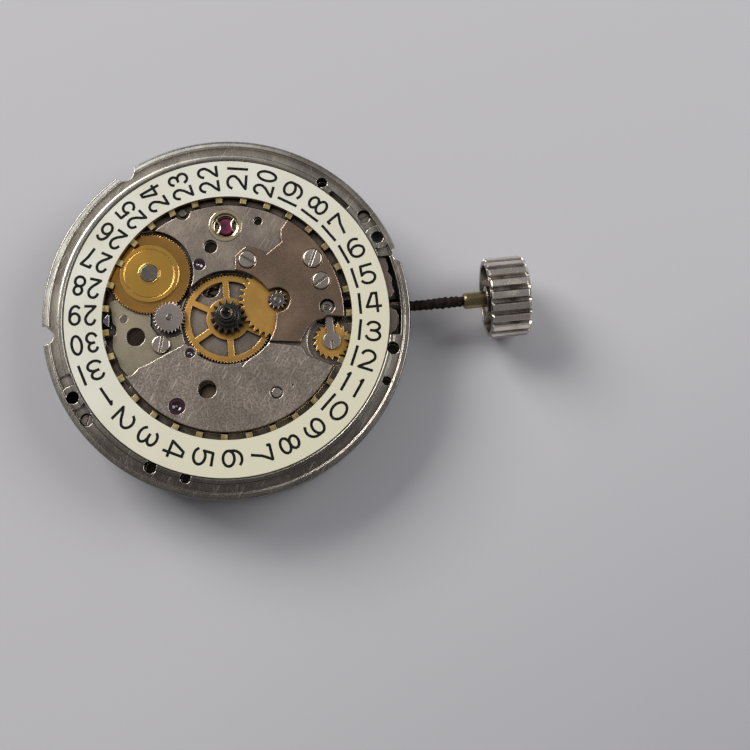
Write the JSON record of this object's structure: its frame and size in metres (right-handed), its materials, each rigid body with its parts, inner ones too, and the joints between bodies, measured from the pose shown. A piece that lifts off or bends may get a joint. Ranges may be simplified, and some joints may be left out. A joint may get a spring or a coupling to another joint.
{
  "type": "mechanical watch movement",
  "caption": "Round mechanical watch movement seen from the dial side: date ring, motion work, keyless work, wheel train, barrel, balance and winding crown on its stem.",
  "frame": {"origin": "on the hands' axis, in the plane of the dial seat", "axes": "+Z out of the dial side, +X along the winding stem towards the crown (3 o'clock), +Y towards 12 o'clock"},
  "size_m": [0.0348, 0.026, 0.0069],
  "materials": {
    "plate": "fine satin nickel plating",
    "bridge": "fine satin nickel plating",
    "guard": "smooth brushed brownish grey",
    "jumper_plate": "satin, yellowish grey",
    "wheel_brass": "fine turned, gilt",
    "wheel_gold": "turned, gilt, slightly worn",
    "steel": "polished steel",
    "dark_steel": "polished dark steel",
    "stem_steel": "brown, oil-stained steel",
    "screw_steel": "polished screw steel",
    "ring_lacquer": "cream-white lacquer, brass teeth",
    "ruby": "polished synthetic ruby",
    "gold_setting": "polished gilt",
    "balance_metal": "smooth gilt alloy",
    "spring_steel": "thin tempered spring steel",
    "tube_brass": "olive, tarnished brass",
    "crown_steel": "worn polished crown with dark grooves"
  },
  "bodies": {
    "frame": {"main_plate": "plate", "lower_plate": "plate", "guard_plate": "guard", "date_jumper_plate": "jumper_plate", "date_jumper": "spring_steel", "centre_tube": "steel", "dial_side_studs": "steel", "dial_side_screws": "screw_steel", "dial_foot_screws": "screw_steel", "dial_side_jewels": "ruby", "bridge_jewels": "ruby", "shock_settings": "gold_setting", "shock_jewels": "ruby", "shock_springs": "gold_setting", "pallet_cock": "bridge", "hairspring": "spring_steel", "stud_carrier": "steel", "balance_cock": "bridge", "train_bridge": "bridge", "barrel_bridge": "bridge", "bridge_screws": "screw_steel", "mainspring": "spring_steel", "click_spring": "spring_steel"},
    "date_ring": {"date_ring": "ring_lacquer"},
    "date_driver": {"date_driving_wheel": "wheel_gold"},
    "date_idler": {"date_idler_wheel": "steel"},
    "rocker": {"corrector_rocker": "steel"},
    "corrector": {"corrector_wheel": "wheel_brass"},
    "cannon": {"cannon_pinion": "dark_steel", "driving_wheel": "wheel_brass"},
    "minute": {"minute_wheel": "wheel_brass", "minute_pinion": "steel"},
    "setting": {"setting_wheel": "steel"},
    "second": {"second_wheel": "wheel_brass"},
    "third": {"third_wheel": "wheel_brass"},
    "fourth": {"fourth_wheel": "wheel_brass"},
    "escape": {"escape_wheel": "steel"},
    "fork": {"pallet_fork": "steel", "pallet_stones": "ruby"},
    "balance": {"balance_wheel": "balance_metal", "balance_staff": "steel", "roller": "steel"},
    "regulator": {"regulator": "steel"},
    "barrel": {"barrel_drum": "wheel_brass", "barrel_cover": "wheel_brass"},
    "ratchet": {"barrel_arbor": "steel", "ratchet_wheel": "steel", "ratchet_screw": "screw_steel"},
    "crown_wheel": {"crown_wheel": "steel", "transfer_wheel": "steel"},
    "winding_pinion": {"winding_pinion": "steel"},
    "stem": {"winding_stem": "stem_steel", "crown_tube": "tube_brass", "crown": "crown_steel"},
    "clutch": {"sliding_pinion": "steel"},
    "setting_lever": {"setting_lever": "steel"},
    "yoke": {"yoke": "steel"}
  },
  "joints": [
    {"name": "date_ring_turn", "type": "hinge", "parent": "frame", "child": "date_ring", "pos_m": [0, 0, -0.0001], "axis": [0, 0, 1], "continuous": true, "deforming": ["date_jumper"]},
    {"name": "date_driver_turn", "type": "hinge", "parent": "frame", "child": "date_driver", "pos_m": [-0.0053, 0.00375, -0.0009], "axis": [0, 0, 1], "continuous": true},
    {"name": "date_idler_turn", "type": "hinge", "parent": "frame", "child": "date_idler", "pos_m": [-0.00415, 0.00041, -0.0009], "axis": [0, 0, 1], "continuous": true},
    {"name": "rocker_swing", "type": "hinge", "parent": "frame", "child": "rocker", "pos_m": [0.0071, 0.00005, -0.00066], "axis": [0, 0, 1], "range_deg": [-3, 3]},
    {"name": "corrector_turn", "type": "hinge", "parent": "rocker", "child": "corrector", "pos_m": [0.0072, -0.0024, -0.00088], "axis": [0, 0, 1], "continuous": true},
    {"name": "third_turn", "type": "hinge", "parent": "frame", "child": "third", "pos_m": [-0.00285, -0.0024, -0.00224], "axis": [0, 0, 1], "continuous": true},
    {"name": "second_turn", "type": "hinge", "parent": "frame", "child": "second", "pos_m": [-0.00405, -0.0061, -0.00202], "axis": [0, 0, 1], "continuous": true},
    {"name": "barrel_turn", "type": "hinge", "parent": "frame", "child": "barrel", "pos_m": [0.00295, -0.0058, -0.00356], "axis": [0, 0, 1], "continuous": true},
    {"name": "fourth_turn", "type": "hinge", "parent": "frame", "child": "fourth", "pos_m": [0, 0, -0.00246], "axis": [0, 0, 1], "continuous": true},
    {"name": "escape_turn", "type": "hinge", "parent": "frame", "child": "escape", "pos_m": [-0.00308, 0.00227, -0.00273], "axis": [0, 0, 1], "continuous": true},
    {"name": "cannon_turn", "type": "hinge", "parent": "frame", "child": "cannon", "pos_m": [0, 0, -0.00115], "axis": [0, 0, 1], "continuous": true},
    {"name": "minute_turn", "type": "hinge", "parent": "frame", "child": "minute", "pos_m": [0.00362, 0.00088, -0.00083], "axis": [0, 0, 1], "continuous": true},
    {"name": "setting_turn", "type": "hinge", "parent": "frame", "child": "setting", "pos_m": [0.0071, 0.00005, -0.00175], "axis": [0, 0, 1], "continuous": true},
    {"name": "fork_swing", "type": "hinge", "parent": "frame", "child": "fork", "pos_m": [-0.0017, 0.00405, -0.00274], "axis": [0, 0, 1], "range_deg": [-5, 5]},
    {"name": "balance_swing", "type": "hinge", "parent": "frame", "child": "balance", "pos_m": [0.0004, 0.00675, -0.0035], "axis": [0, 0, 1], "range_deg": [-270, 270], "stiffness_Nm_per_rad": 0.00000017, "deforming": ["hairspring"]},
    {"name": "regulator_turn", "type": "hinge", "parent": "frame", "child": "regulator", "pos_m": [0.0004, 0.00675, -0.00475], "axis": [0, 0, 1], "range_deg": [-12, 12]},
    {"name": "winding_turn", "type": "hinge", "parent": "frame", "child": "winding_pinion", "pos_m": [0.01005, 0, -0.0025], "axis": [1, 0, 0], "continuous": true},
    {"name": "crown_wheel_turn", "type": "hinge", "parent": "frame", "child": "crown_wheel", "pos_m": [0.00846, 0, -0.00379], "axis": [0, 0, 1], "continuous": true},
    {"name": "ratchet_turn", "type": "hinge", "parent": "frame", "child": "ratchet", "pos_m": [0.00295, -0.0058, -0.0045], "axis": [0, 0, 1], "continuous": true, "deforming": ["mainspring", "click_spring"]},
    {"name": "stem_pull", "type": "slide", "parent": "winding_pinion", "child": "stem", "axis": [1, 0, 0], "range_m": [0, 0.0009]},
    {"name": "clutch_slide", "type": "slide", "parent": "winding_pinion", "child": "clutch", "axis": [1, 0, 0], "range_m": [-0.00055, 0]},
    {"name": "setting_lever_swing", "type": "hinge", "parent": "frame", "child": "setting_lever", "pos_m": [0.0109, 0.0029, -0.0011], "axis": [0, 0, 1], "range_deg": [0, 18.46]},
    {"name": "yoke_swing", "type": "hinge", "parent": "frame", "child": "yoke", "pos_m": [0.00915, 0.0034, -0.0011], "axis": [0, 0, 1], "range_deg": [-9.3, 0]}
  ],
  "couplings": [
    {"joint": "date_idler_turn", "follows": "date_driver_turn", "ratio": -4.6316},
    {"joint": "second_turn", "follows": "third_turn", "ratio": -0.125},
    {"joint": "barrel_turn", "follows": "third_turn", "ratio": 0.027778},
    {"joint": "fourth_turn", "follows": "third_turn", "ratio": -10},
    {"joint": "escape_turn", "follows": "third_turn", "ratio": 75},
    {"joint": "cannon_turn", "follows": "third_turn", "ratio": -0.16667},
    {"joint": "minute_turn", "follows": "third_turn", "ratio": 0.069444},
    {"joint": "setting_turn", "follows": "third_turn", "ratio": -0.19231},
    {"joint": "crown_wheel_turn", "follows": "winding_turn", "ratio": 0.5},
    {"joint": "ratchet_turn", "follows": "winding_turn", "ratio": -0.26923},
    {"joint": "clutch_slide", "follows": "stem_pull", "ratio": -0.61111},
    {"joint": "setting_lever_swing", "follows": "stem_pull", "rad_per_m": 357.02},
    {"joint": "yoke_swing", "follows": "stem_pull", "rad_per_m": -179.37}
  ]
}
